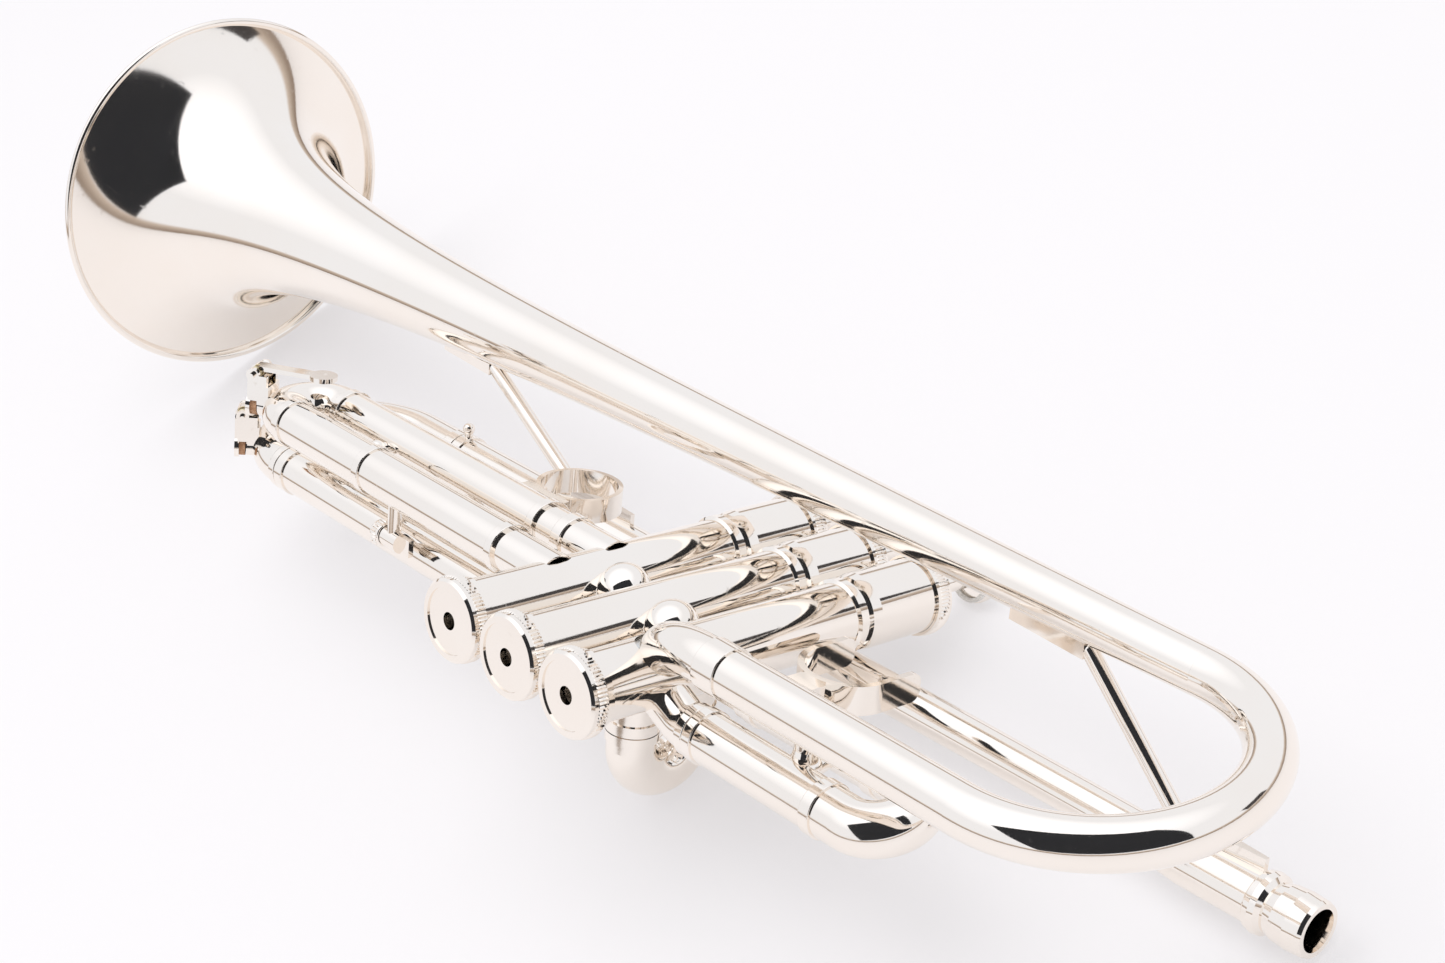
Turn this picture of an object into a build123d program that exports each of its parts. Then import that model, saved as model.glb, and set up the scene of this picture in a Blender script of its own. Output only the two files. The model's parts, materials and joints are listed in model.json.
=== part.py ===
from build123d import *
import math
import os

# A B-flat trumpet lying on its right side, as an assembly of separate pieces.
# Working frame while building: X toward the bell, Y toward the player's left, Z along the
# valves toward the top caps, origin on the valve 2 axis at the face of its bottom cap.
# At the end every piece is laid down on the floor plane Z = 0.  All sizes in mm.

# ---- valves ----
VALVE_PITCH = 24.4        # axis to axis
VALVE_HEIGHT = 124.0      # bottom cap face to top cap face
PISTON_R = 8.46
PISTON_CLEAR = 0.04       # radial running clearance of a piston in its casing
CASING_WALL = 0.80
BARREL_WALL = 1.90        # wall of the thicker upper casing
CAP_R = 11.20
CAP_FLOOR = 2.00          # thickness of a cap's end wall
BOTTOM_CAP_H = 7.50
TOP_CAP_H = 6.00
BARREL_START = 95.0       # where the upper casing begins
PISTON_FOOT = 19.0        # bottom of a piston at rest
PISTON_BODY_TOP = 80.0
PISTON_TRAVEL = 16.5
GUIDE_Z = 84.0            # underside of the fixed valve guide
GUIDE_H = 2.0
STEM_R = 2.40
STEM_CLEAR = 0.30         # around the stem where it passes the top cap
BUTTON_R = 7.50
BUTTON_H = 3.60
BUTTON_EDGE = 1.10        # rounding of the button's edges
BUTTON_SHOULDER = 0.70    # height of the shoulder under the button
CAP_BOSS_H = 0.50         # height of the boss on a top cap

# ---- tubing ----
BORE_R = 5.83
LEG_WALL = 0.42
SLIDE_CLEAR = 0.04        # radial running clearance between a slide leg and its sleeve
SLEEVE_WALL = 0.46
LEG_R = BORE_R + LEG_WALL
SLEEVE_IN = LEG_R + SLIDE_CLEAR
SLEEVE_R = SLEEVE_IN + SLEEVE_WALL
BUTT_GAP = 0.30           # between a closed slide and the fixed piece it stops on
RING_PROUD = 0.55         # how far a ferrule ring stands off its tube
LEG_PITCH = 19.5          # leg to leg on the three valve slides

# ---- bell and its bow ----
BELL_Y = 28.7
BELL_Z = 99.9
BELL_RIM_X = 303.0
BELL_RIM_R = 61.5
BELL_WALL = 0.60
RIM_WIRE_R = 1.15
FLARE_LENGTH = 78.0       # the strongly curved front of the bell
FLARE_POLE = 14.5         # horn law: radius ~ (distance + pole) ** -power
FLARE_POWER = 0.66
FLARE_STATIONS = 8        # curved stretches along each part of the bell
STEM_STATIONS = 8
BOW_X = -136.0            # where the rear bow starts to turn
TAIL_Y = 15.6
TAIL_Z = 20.8
TAIL_END_X = -56.0

# ---- leadpipe side ----
LEAD_Y = -17.0
LEAD_Z = 97.2
LEAD_REAR_R = 5.00
LEAD_FRONT_R = 5.95
LEAD_WALL = 0.50
RECEIVER_X = -180.5       # mouth of the mouthpiece receiver
RECEIVER_LEN = 52.0
RECEIVER_R = 6.80
SHANK_R = 5.05            # socket radius that grips the mouthpiece shank
SHANK_DEPTH = 22.0
SHANK_ENTRY = 0.45        # radial flare of the socket at its mouth
SLEEVE_BACK_X = 44.0      # rear end of the upper main slide sleeve
SLEEVE_FRONT_X = 152.0

# ---- main tuning slide ----
MAIN_LOW_Z = 44.5
MAIN_LOW_X = 167.5        # front end of the lower sleeve
MAIN_BEND_X = 171.0       # where the crook starts to turn
MAIN_DRAW = 45.0          # how far the slide draws out
ELBOW_R = 10.0

# ---- third valve slide ----
S3_Y = 4.5
S3_LOW_Z = 35.0
S3_BACK_X = 45.0
S3_SLEEVE_END = 112.0
S3_UPPER_START = 53.0
S3_BEND_X = 155.5
S3_DRAW = 30.0
RING_IN_R = 11.0
RING_BAND = 1.4
RING_W = 7.0
RING_X = 67.0

# ---- first valve slide ----
S1_Y = -4.0
S1_LOW_Z = 27.5
S1_BACK_X = -43.0
S1_BEND_X = -96.0
S1_LEAN = 15.0            # degrees that the slide's lower leg swings out to the right
S1_PORT_Y = -3.0          # where the lower leg's tube starts inside its casing
S1_KNUCKLE_X = -38.0      # where that tube turns straight
S1_DRAW = 18.0
KNOB_X = 21.0             # pull post's distance in front of the slide's bend
KNOB_R = 4.4
KNOB_POST_R = 2.85
KNOB_OFFSET = 5.0         # post's height above the lower leg
KNOB_TOP_Y = 10.5
SADDLE_X = -52.5
SADDLE_IN_R = 11.0
SADDLE_ARM = 13.5
SADDLE_LIFT = 3.5         # to the left of its slide leg
SADDLE_TIP_R = 3.0
SADDLE_BAND = 1.8
SADDLE_W = 8.0

# ---- second valve slide ----
S2_LOW_Z = 44.0
S2_SLEEVE_END = 31.0      # distance of the sleeve ends from the valve axis
S2_BEND = 36.5
S2_DRAW = 10.0

# ---- braces and small fittings ----
BRACE_R = 2.30
BRACE_Z = 98.5            # height of both braces
FOOT_LEN = 26.0
FOOT_W = 5.0
FOOT_H = 2.0
KEY_PLATE = 1.4           # thickness of a water key lever
KEY_W = 5.0
KEY_PIN_R = 0.90
KEY_COIL_R = 1.55         # centre line of the key's coil, round its pin
NIPPLE_R = 3.0
NIPPLE_H = 2.2
CORK_H = 2.2
SCREW_R = 3.6
SCREW_H = 4.0
WIRE_R = 0.45             # spring wire

CASING_IN = PISTON_R + PISTON_CLEAR
CASING_R = CASING_IN + CASING_WALL
BARREL_R = CASING_IN + BARREL_WALL
MAIN_R = (LEAD_Z - MAIN_LOW_Z) / 2
MAIN_MID_Z = (LEAD_Z + MAIN_LOW_Z) / 2
LEG_HALF = LEG_PITCH / 2
FLARE_X = BELL_RIM_X - FLARE_LENGTH


# ---------- shared shapes ----------
def outline_face(*lines):
    """Flat face bounded by the given lines, taken in order."""
    edges = []
    for line in lines:
        edges.extend(line.edges())
    return Face(Wire(edges))


def rod(start, end, radius):
    """Solid round bar from one point to another."""
    a, b = Vector(*start), Vector(*end)
    return Solid.make_cylinder(radius, (b - a).length, Plane(origin=a, z_dir=(b - a)))


def pipe(start, end, outer, inner):
    """Straight hollow tube."""
    a, b = Vector(*start), Vector(*end)
    lead = (b - a).normalized() * 1.0
    return rod(start, end, outer) - rod(tuple(a - lead), tuple(b + lead), inner)


def swept(path, outer, inner):
    """Hollow tube of constant section along a wire."""
    start = Plane(origin=path @ 0, z_dir=path % 0)
    skin = sweep(start * Circle(outer), path=path)
    core = sweep(start * Circle(inner), path=path)
    return skin - core


def collar(x, y, z, inner, length, proud=RING_PROUD):
    """Rounded ferrule ring round a tube that runs along X."""
    ring = pipe((x, y, z), (x + length, y, z), inner + proud, inner)
    outer = [e for e in ring.edges().filter_by(GeomType.CIRCLE) if e.radius > inner + proud / 2]
    return fillet(outer, proud * 0.45)


def u_bend(bend, mid, radius, lead_a, lead_b, sign=1):
    """Wire of a U: legs along X joined by a half circle in the XZ plane."""
    y = mid[0]
    z = mid[1]
    low_in = (lead_a, y, z - radius)
    low = (bend, y, z - radius)
    top = (bend, y, z + radius)
    top_in = (lead_b, y, z + radius)
    nose = (bend + sign * radius, y, z)
    return Wire([Line(low_in, low), ThreePointArc(low, nose, top), Line(top, top_in)])


def coil(radius, wire, height, turns):
    """Helical spring standing on the XY plane."""
    path = Edge.make_helix(height / turns, height, radius)
    return sweep(Plane(origin=path @ 0, z_dir=path % 0) * Circle(wire), path=path, is_frenet=True)


# ---------- bell ----------
def horn_radius(x):
    """Radius of the bell's skin at a station along its axis."""
    scale = (BELL_RIM_X - x + FLARE_POLE) / FLARE_POLE
    return (BELL_RIM_R - RIM_WIRE_R * 0.5) * scale ** (-FLARE_POWER)


def horn_stations(x0, x1, count):
    """Stations along the bell, closer together toward the mouth."""
    return [x0 + (x1 - x0) * (1 - (1 - i / count) ** 1.7) for i in range(count + 1)]


def horn_slope(x):
    """Rise of the bell's skin at a station along its axis."""
    return FLARE_POWER * horn_radius(x) / (BELL_RIM_X - x + FLARE_POLE)


def horn_lining(x):
    """Point of the bell's inner face that lies square under a station of its skin."""
    slope = horn_slope(x)
    lean = math.sqrt(1 + slope * slope)
    return x + BELL_WALL * slope / lean, horn_radius(x) - BELL_WALL / lean


def smooth_run(points, slopes):
    """Curves through points in the XZ plane, each leaving and meeting them at the given slopes."""
    ends = list(zip(points, slopes))
    runs = []
    for (a, rise_a), (b, rise_b) in zip(ends, ends[1:]):
        run = Spline((a[0], 0, a[1]), (b[0], 0, b[1]), tangents=[(1, 0, rise_a), (1, 0, rise_b)])
        runs.append(run)
    return runs


def horn_skin(x0, x1, count):
    """Outline of the bell's outer face between two stations."""
    stations = horn_stations(x0, x1, count)
    return smooth_run([(x, horn_radius(x)) for x in stations], [horn_slope(x) for x in stations])


def horn(x0, x1, count):
    """Thin bell wall between two stations, turned about the bell axis."""
    stations = horn_stations(x0, x1, count)
    slopes = [horn_slope(x) for x in stations]
    lining = [horn_lining(x) for x in stations]
    lining[0] = (x0, horn_radius(x0) - BELL_WALL)
    if x1 < BELL_RIM_X:
        lining[-1] = (x1, horn_radius(x1) - BELL_WALL)
    outer = horn_skin(x0, x1, count)
    inner = smooth_run(lining, slopes)
    back = Line(outer[0] @ 0, inner[0] @ 0)
    front = Line(outer[-1] @ 1, inner[-1] @ 1)
    face = outline_face(*outer, front, *reversed(inner), back)
    return Pos(0, BELL_Y, BELL_Z) * revolve(face, Axis.X, 360)


def bell_flare():
    return horn(FLARE_X, BELL_RIM_X, FLARE_STATIONS)


def bell_stem():
    return horn(BOW_X, FLARE_X, STEM_STATIONS)


def bell_rim_bead():
    """Rolled wire round the mouth, standing on the outside of the flare's edge."""
    seat = bell_edge()
    ring = Pos(seat[0], BELL_Y, BELL_Z) * Rot(0, 90, 0) * Torus(seat[1], RIM_WIRE_R)
    return ring - horn_core()


def bell_edge():
    """Axial position and radius of the rim wire's centre line."""
    return BELL_RIM_X - RIM_WIRE_R, BELL_RIM_R - RIM_WIRE_R


def horn_core():
    """Everything inside the outer skin of the flare."""
    skin = horn_skin(FLARE_X, BELL_RIM_X, FLARE_STATIONS)
    lip = BELL_RIM_X + BELL_WALL * 3
    mouth = horn_radius(BELL_RIM_X)
    foot = Line((FLARE_X, 0, 0), (FLARE_X, 0, horn_radius(FLARE_X)))
    cap = Polyline((BELL_RIM_X, 0, mouth), (lip, 0, mouth), (lip, 0, 0), (FLARE_X, 0, 0))
    face = outline_face(foot, *skin, cap)
    return Pos(0, BELL_Y, BELL_Z) * revolve(face, Axis.X, 360)


def bow_radius():
    return horn_radius(BOW_X)


def bell_bow():
    """Rear bow from the bell stem round and forward along the lower leg."""
    mid_y = (BELL_Y + TAIL_Y) / 2
    mid_z = (BELL_Z + TAIL_Z) / 2
    turn = math.hypot(BELL_Y - TAIL_Y, BELL_Z - TAIL_Z) / 2
    top = (BOW_X, BELL_Y, BELL_Z)
    low = (BOW_X, TAIL_Y, TAIL_Z)
    arc = ThreePointArc(top, (BOW_X - turn, mid_y, mid_z), low)
    path = Wire([arc, Line(low, (TAIL_END_X, TAIL_Y, TAIL_Z))])
    return swept(path, bow_radius(), bow_radius() - BELL_WALL)


def casing_solid(index, radius=None):
    """Full cylinder where a casing stands, for trimming the tubes that meet it."""
    x = index * VALVE_PITCH
    return rod((x, 0, -5), (x, 0, VALVE_HEIGHT + 5), radius or CASING_R)


def tail_elbow():
    """Elbow from the lower leg into the side of the first casing, under one ferrule."""
    start = (TAIL_END_X, TAIL_Y, TAIL_Z)
    turn = (TAIL_END_X + 4.0, TAIL_Y, TAIL_Z)
    end = (-VALVE_PITCH - 2.5, 3.0, TAIL_Z + 8.0)
    curve = Spline(turn, end, tangents=[(1, 0, 0), (0.30, -0.85, 0.45)], tangent_scalars=[1.1, 1.1])
    tube = swept(Wire([Line(start, turn), curve]), bow_radius(), bow_radius() - BELL_WALL)
    tube = tube - casing_solid(-1)
    return tube + collar(TAIL_END_X - 4.5, TAIL_Y, TAIL_Z, bow_radius(), 7.5)


# ---------- leadpipe ----------
def leadpipe():
    """Tapered pipe from the receiver to the upper main slide sleeve."""
    back = RECEIVER_X + SHANK_DEPTH + 2.0
    length = SLEEVE_BACK_X + 12.0 - back
    base = Plane(origin=(back, LEAD_Y, LEAD_Z), z_dir=(1, 0, 0))
    skin = Solid.make_cone(LEAD_REAR_R, LEAD_FRONT_R, length, base)
    core = Solid.make_cone(LEAD_REAR_R - LEAD_WALL, LEAD_FRONT_R - LEAD_WALL, length, base)
    return skin - core


def lead_radius(x):
    back = RECEIVER_X + SHANK_DEPTH + 2.0
    t = (x - back) / (SLEEVE_BACK_X + 12.0 - back)
    return LEAD_REAR_R + (LEAD_FRONT_R - LEAD_REAR_R) * t


def turned(points, y, z):
    """Solid turned about an axis along X from (x, radius) pairs."""
    pts = [(x, 0, r) for x, r in points]
    ends = [(points[-1][0], 0, 0), (points[0][0], 0, 0)]
    face = outline_face(Polyline(*(pts + ends), close=True))
    return Pos(0, y, z) * revolve(face, Axis.X, 360)


def mouthpiece_receiver():
    """Sleeve, bead ring and barrel-shaped mouth that takes the mouthpiece shank."""
    x = RECEIVER_X
    big = RECEIVER_R
    body = turned([
        (x, big + 0.05), (x + 1.0, big + 0.45), (x + 5.0, big + 0.75), (x + 9.0, big + 0.45),
        (x + 12.0, big - 0.35), (x + 13.0, big + 0.9), (x + 14.6, big + 1.2), (x + 16.2, big + 0.9),
        (x + 17.0, big), (x + 38.0, big - 0.1), (x + RECEIVER_LEN, LEAD_REAR_R + 0.45)], LEAD_Y, LEAD_Z)
    back = x + SHANK_DEPTH + 2.0
    socket = rod((x - 1, LEAD_Y, LEAD_Z), (back, LEAD_Y, LEAD_Z), SHANK_R)
    entry = Plane(origin=(x, LEAD_Y, LEAD_Z), z_dir=(1, 0, 0))
    flare = Solid.make_cone(SHANK_R + SHANK_ENTRY, SHANK_R, 6 * SHANK_ENTRY, entry)
    length = RECEIVER_LEN - SHANK_DEPTH
    base = Plane(origin=(back, LEAD_Y, LEAD_Z), z_dir=(1, 0, 0))
    seat = Solid.make_cone(LEAD_REAR_R, lead_radius(back + length), length, base)
    return body - socket - flare - seat


def upper_slide_sleeve():
    """Fixed outer sleeve ahead of the leadpipe, with end ferrule and a small nipple."""
    stop = SLEEVE_BACK_X + 12.0
    tube = pipe((SLEEVE_BACK_X, LEAD_Y, LEAD_Z), (SLEEVE_FRONT_X, LEAD_Y, LEAD_Z), SLEEVE_R, SLEEVE_IN)
    bush = pipe((SLEEVE_BACK_X, LEAD_Y, LEAD_Z), (stop, LEAD_Y, LEAD_Z), SLEEVE_IN, LEAD_FRONT_R)
    taper = Solid.make_cone(lead_radius(SLEEVE_BACK_X), LEAD_FRONT_R, 12.0,
                            Plane(origin=(SLEEVE_BACK_X, LEAD_Y, LEAD_Z), z_dir=(1, 0, 0)))
    ledge = rod((SLEEVE_BACK_X, LEAD_Y, LEAD_Z), (stop, LEAD_Y, LEAD_Z), SLEEVE_IN) - taper
    body = tube + bush + ledge
    body = body + collar(SLEEVE_BACK_X - 2.0 + 2.0, LEAD_Y, LEAD_Z, SLEEVE_R, 3.0)
    body = body + collar(SLEEVE_FRONT_X - 4.0, LEAD_Y, LEAD_Z, SLEEVE_R, 4.0)
    knob_x = SLEEVE_FRONT_X - 2.0
    reach = SLEEVE_R + 3.0
    knob = rod((knob_x, LEAD_Y, LEAD_Z), (knob_x, LEAD_Y + reach, LEAD_Z), 1.3)
    knob = knob + Pos(knob_x, LEAD_Y + reach, LEAD_Z) * Sphere(1.9)
    bore = rod((SLEEVE_BACK_X, LEAD_Y, LEAD_Z), (SLEEVE_FRONT_X, LEAD_Y, LEAD_Z), SLEEVE_R - 0.1)
    return body + (knob - bore)


def lower_slide_sleeve():
    """Fixed outer sleeve of the main slide's lower leg."""
    x0 = VALVE_PITCH + ELBOW_R + 6.0
    tube = pipe((x0, LEAD_Y, MAIN_LOW_Z), (MAIN_LOW_X, LEAD_Y, MAIN_LOW_Z), SLEEVE_R, SLEEVE_IN)
    tail = collar(x0, LEAD_Y, MAIN_LOW_Z, SLEEVE_R, 3.0)
    return tube + tail + collar(MAIN_LOW_X - 4.0, LEAD_Y, MAIN_LOW_Z, SLEEVE_R, 4.0)


def valve3_elbow():
    """Elbow from the third casing into the lower main slide sleeve."""
    x = VALVE_PITCH
    turn = (x, LEAD_Y + ELBOW_R, MAIN_LOW_Z)
    exit_point = (x + ELBOW_R, LEAD_Y, MAIN_LOW_Z)
    run = 1 - math.sqrt(0.5)
    middle = (x + ELBOW_R * run, LEAD_Y + ELBOW_R * run, MAIN_LOW_Z)
    arc = ThreePointArc(turn, middle, exit_point)
    path = Wire([Line((x, -3.0, MAIN_LOW_Z), turn), arc, Line(exit_point, (x + ELBOW_R + 18.0, LEAD_Y, MAIN_LOW_Z))])
    return swept(path, SLEEVE_IN, BORE_R) - casing_solid(1)


# ---------- valve group ----------
def ports(index):
    """Points and directions where tubes enter a casing."""
    x = index * VALVE_PITCH
    low3 = (0, S3_Y, S3_LOW_Z)
    high3 = (0, S3_Y, S3_LOW_Z + LEG_PITCH)
    leg_start, leg_turn = slide1_knuckle()
    leg_way = tuple(b - a for a, b in zip(leg_start, leg_turn))
    table = {
        -1: [(leg_start, leg_way), ((x, S1_Y, S1_LOW_Z + LEG_PITCH), (-1, 0, 0)),
             ((x, 1.5, TAIL_Z + 8.0), (-0.30, 0.85, -0.30)), ((x, 0, knuckle_z(-1)), (1, 0, 0))],
        0: [((x, 0, S2_LOW_Z), (0, -1, 0)), ((x, 0, S2_LOW_Z + LEG_PITCH), (0, -1, 0)),
            ((x, 0, knuckle_z(-1)), (-1, 0, 0)), ((x, 0, knuckle_z(1)), (1, 0, 0))],
        1: [((x, low3[1], low3[2]), (1, 0, 0)), ((x, high3[1], high3[2]), (1, 0, 0)),
            ((x, 0, MAIN_LOW_Z), (0, -1, 0)), ((x, 0, knuckle_z(1)), (-1, 0, 0))],
    }
    return table[index]


def knuckle_z(side):
    """Height of the short crossing tube on either side of the middle valve."""
    return S2_LOW_Z + (LEG_HALF if side > 0 else 0.0) * 0.4


def casing(index):
    """Two-part casing: thin lower tube, bead ring, thicker upper barrel, ported."""
    x = index * VALVE_PITCH
    low = CAP_FLOOR
    high = VALVE_HEIGHT - CAP_FLOOR
    mid = BARREL_START
    profile = [(CASING_R, low), (CASING_R, mid - 5.0), (CASING_R + 0.9, mid - 4.4), (CASING_R + 0.9, mid - 2.2),
               (CASING_R + 0.2, mid - 1.8), (CASING_R + 0.2, mid - 1.2), (BARREL_R - 0.4, mid),
               (BARREL_R, mid + 3.0), (BARREL_R, high), (CASING_IN, high), (CASING_IN, low)]
    face = outline_face(Polyline(*[(r, 0, z) for r, z in profile], close=True))
    body = revolve(face, Axis.Z, 360)
    body = Pos(x, 0, 0) * body
    for origin, way in ports(index):
        a = Vector(*origin)
        b = a + Vector(*way).normalized() * (CASING_R + 4.0)
        body = body - rod(tuple(a), tuple(b), BORE_R * 0.97)
    seat = Pos(x, 0, GUIDE_Z) * Box(2 * CASING_IN + 1.0, 2.6, GUIDE_H, align=(Align.CENTER, Align.CENTER, Align.MIN))
    return body - seat


def valve_guide(index):
    """Bar across the casing that keeps the piston from turning and carries the spring."""
    x = index * VALVE_PITCH
    bar = Pos(x, 0, GUIDE_Z) * Box(2 * CASING_IN + 0.98, 2.58, GUIDE_H, align=(Align.CENTER, Align.CENTER, Align.MIN))
    hub = rod((x, 0, GUIDE_Z), (x, 0, GUIDE_Z + GUIDE_H), 5.6)
    trim = rod((x, 0, GUIDE_Z - 1), (x, 0, GUIDE_Z + GUIDE_H + 1), CASING_IN + 0.45)
    return (bar + hub) & trim


def bottom_cap(index):
    """Screwed cup with a vent hole in its face."""
    x = index * VALVE_PITCH
    cup = rod((x, 0, 0), (x, 0, BOTTOM_CAP_H), CAP_R)
    cup = chamfer(cup.edges().filter_by(GeomType.CIRCLE).sort_by(Axis.Z)[0], 0.7)
    groove = pipe((x, 0, BOTTOM_CAP_H - 2.6), (x, 0, BOTTOM_CAP_H + 1), CAP_R + 1, CAP_R - 1.0)
    well = rod((x, 0, CAP_FLOOR), (x, 0, BOTTOM_CAP_H + 1), CASING_R + 0.05)
    dish = Pos(x, 0, -0.1) * Cylinder(CAP_R - 2.2, 0.5, align=(Align.CENTER, Align.CENTER, Align.MIN))
    vent = rod((x, 0, -1), (x, 0, CAP_FLOOR + 1), 2.4)
    return cup - groove - well - dish - vent


def top_cap(index):
    """Screwed cup on the upper barrel with a raised boss round the stem."""
    x = index * VALVE_PITCH
    top = VALVE_HEIGHT
    low = top - TOP_CAP_H
    cup = rod((x, 0, low), (x, 0, top), CAP_R)
    cup = chamfer(cup.edges().filter_by(GeomType.CIRCLE).sort_by(Axis.Z)[-1], 1.0)
    boss = rod((x, 0, top - 0.5), (x, 0, top + CAP_BOSS_H), STEM_R + 3.0)
    well = rod((x, 0, low - 1), (x, 0, top - CAP_FLOOR), BARREL_R + 0.05)
    hole = rod((x, 0, low), (x, 0, top + 3), STEM_R + STEM_CLEAR)
    return cup + boss - well - hole


def cross_knuckle(side):
    """Short domed tube between two neighbouring casings."""
    z = knuckle_z(side)
    x = side * VALVE_PITCH / 2
    half = VALVE_PITCH / 2
    tube = pipe((x - half, 3.0, z), (x + half, 3.0, z), SLEEVE_R, BORE_R)
    near = casing_solid(0)
    return tube - near - casing_solid(side)


def piston(index):
    """Ported piston body with a slotted spring barrel above it."""
    x = index * VALVE_PITCH
    top = VALVE_HEIGHT - CAP_FLOOR - BUTT_GAP
    barrel_top = top - 3.0
    body = rod((x, 0, PISTON_FOOT), (x, 0, PISTON_BODY_TOP), PISTON_R)
    body = body - rod((x, 0, PISTON_FOOT - 1), (x, 0, PISTON_FOOT + 5.0), PISTON_R - 1.2)
    body = body - rod((x, 0, PISTON_BODY_TOP - 4.0), (x, 0, PISTON_BODY_TOP + 1), PISTON_R - 1.6)
    for i in range(3):
        z = PISTON_FOOT + 12.0 + i * (PISTON_BODY_TOP - PISTON_FOOT - 24.0) / 2
        turn = math.radians(35.0 * i + 20.0 * index)
        way = Vector(math.cos(turn), math.sin(turn), 0) * (PISTON_R + 1)
        mid = Vector(x, 0, z)
        body = body - rod(tuple(mid - way), tuple(mid + way), BORE_R * 0.75)
    shell = pipe((x, 0, PISTON_BODY_TOP), (x, 0, barrel_top), PISTON_R, PISTON_R - 1.0)
    lid = rod((x, 0, barrel_top), (x, 0, top), PISTON_R)
    body = body + shell + lid
    slot_low = GUIDE_Z - BUTT_GAP
    slot_h = GUIDE_H + PISTON_TRAVEL + 2 * BUTT_GAP
    slot = Pos(x, 0, slot_low) * Box(4 * PISTON_R, 3.2, slot_h, align=(Align.CENTER, Align.CENTER, Align.MIN))
    return body - slot - rod((x, 0, top - 4.0), (x, 0, top + 1), STEM_R)


def button_underside():
    """Height of a button's underside with the valve up."""
    return VALVE_HEIGHT + CAP_BOSS_H + BUTTON_SHOULDER + BUTT_GAP + PISTON_TRAVEL


def finger_button(index):
    """Stem screwed into the piston, with the dished button and its felt shoulder."""
    x = index * VALVE_PITCH
    top = VALVE_HEIGHT - CAP_FLOOR - BUTT_GAP
    under = button_underside()
    stem = rod((x, 0, top - 3.0), (x, 0, under), STEM_R)
    shoulder = rod((x, 0, under - BUTTON_SHOULDER), (x, 0, under), STEM_R + 1.6)
    disc = rod((x, 0, under), (x, 0, under + BUTTON_H), BUTTON_R)
    rims = disc.edges().filter_by(GeomType.CIRCLE)
    disc = fillet(rims, BUTTON_EDGE)
    dish = Pos(x, 0, under + BUTTON_H + 26.0) * Sphere(26.6)
    return stem + shoulder + disc - dish


def valve_spring(index):
    """Coil between the guide and the lid of the spring barrel."""
    x = index * VALVE_PITCH
    low = GUIDE_Z + GUIDE_H
    high = VALVE_HEIGHT - CAP_FLOOR - BUTT_GAP - 3.0
    height = high - low - 2 * WIRE_R - 0.1
    return Pos(x, 0, low + WIRE_R + 0.05) * coil(5.0, WIRE_R, height, 7)


# ---------- third valve slide ----------
def slide3_lower_sleeve():
    """Fixed outer sleeve of the lower leg with its entry into the third casing."""
    z = S3_LOW_Z
    tube = pipe((S3_BACK_X, S3_Y, z), (S3_SLEEVE_END, S3_Y, z), SLEEVE_R, SLEEVE_IN)
    entry = pipe((VALVE_PITCH, S3_Y, z), (S3_BACK_X + 6.0, S3_Y, z), SLEEVE_IN, BORE_R) - casing_solid(1)
    tube = tube + entry + collar(S3_BACK_X, S3_Y, z, SLEEVE_R, 3.0)
    return tube + collar(S3_SLEEVE_END - 3.0, S3_Y, z, SLEEVE_R, 3.0)


def slide3_upper_tube():
    """Fixed inner tube of the upper leg, carrying the sliding outer sleeve."""
    z = S3_LOW_Z + LEG_PITCH
    tube = pipe((VALVE_PITCH, S3_Y, z), (S3_SLEEVE_END, S3_Y, z), LEG_R, BORE_R) - casing_solid(1)
    return tube + collar(S3_BACK_X - 4.0, S3_Y, z, LEG_R, 4.0, RING_PROUD * 1.4)


def water_key_seat(place):
    """Nipple and two ears that carry a water key, in the crook's own frame."""
    nipple = Cylinder(NIPPLE_R, NIPPLE_H + 1.5, rotation=(0, 90, 0))
    nipple = Pos((NIPPLE_H - 1.5) / 2, 0, 0) * nipple
    ears = None
    for side in (-1, 1):
        ear = Pos(key_pivot_x(), 0, side * (KEY_W / 2 + 1.0)) * ear_plate()
        ears = ear if ears is None else ears + ear
    rail = Pos(key_pivot_x() - 3.4, key_pivot_y() - 6.2, 0) * Box(3.6, 6.0, KEY_W + 3.4)
    pin = Pos(key_pivot_x(), key_pivot_y(), 0) * Cylinder(KEY_PIN_R, KEY_W + 6.0)
    head = Pos(key_pivot_x(), key_pivot_y(), KEY_W / 2 + 3.4) * Sphere(1.9)
    return place * (nipple + ears + rail + pin + head)


def ear_plate():
    plate = Pos(-1.6, key_pivot_y() - 4.0, 0) * Box(6.0, 8.0, 1.4)
    return plate + Pos(0, key_pivot_y(), 0) * Cylinder(2.0, 1.4)


def key_pivot_x():
    return NIPPLE_H + CORK_H - 1.0


def key_pivot_y():
    return SLEEVE_R + 4.0


def key_place(x, y, z, radius, angle):
    """Frame on the outside of a crook: X outward, Y to the player's left."""
    return Pos(x, y, z) * Rot(0, angle, 0) * Pos(radius + LEG_R + 0.2, 0, 0)


def slide3_key():
    return key_place(S3_BEND_X, S3_Y, S3_LOW_Z + LEG_HALF, LEG_HALF, 35)


def main_key():
    return key_place(MAIN_BEND_X, LEAD_Y, MAIN_MID_Z, MAIN_R, 55)


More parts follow.
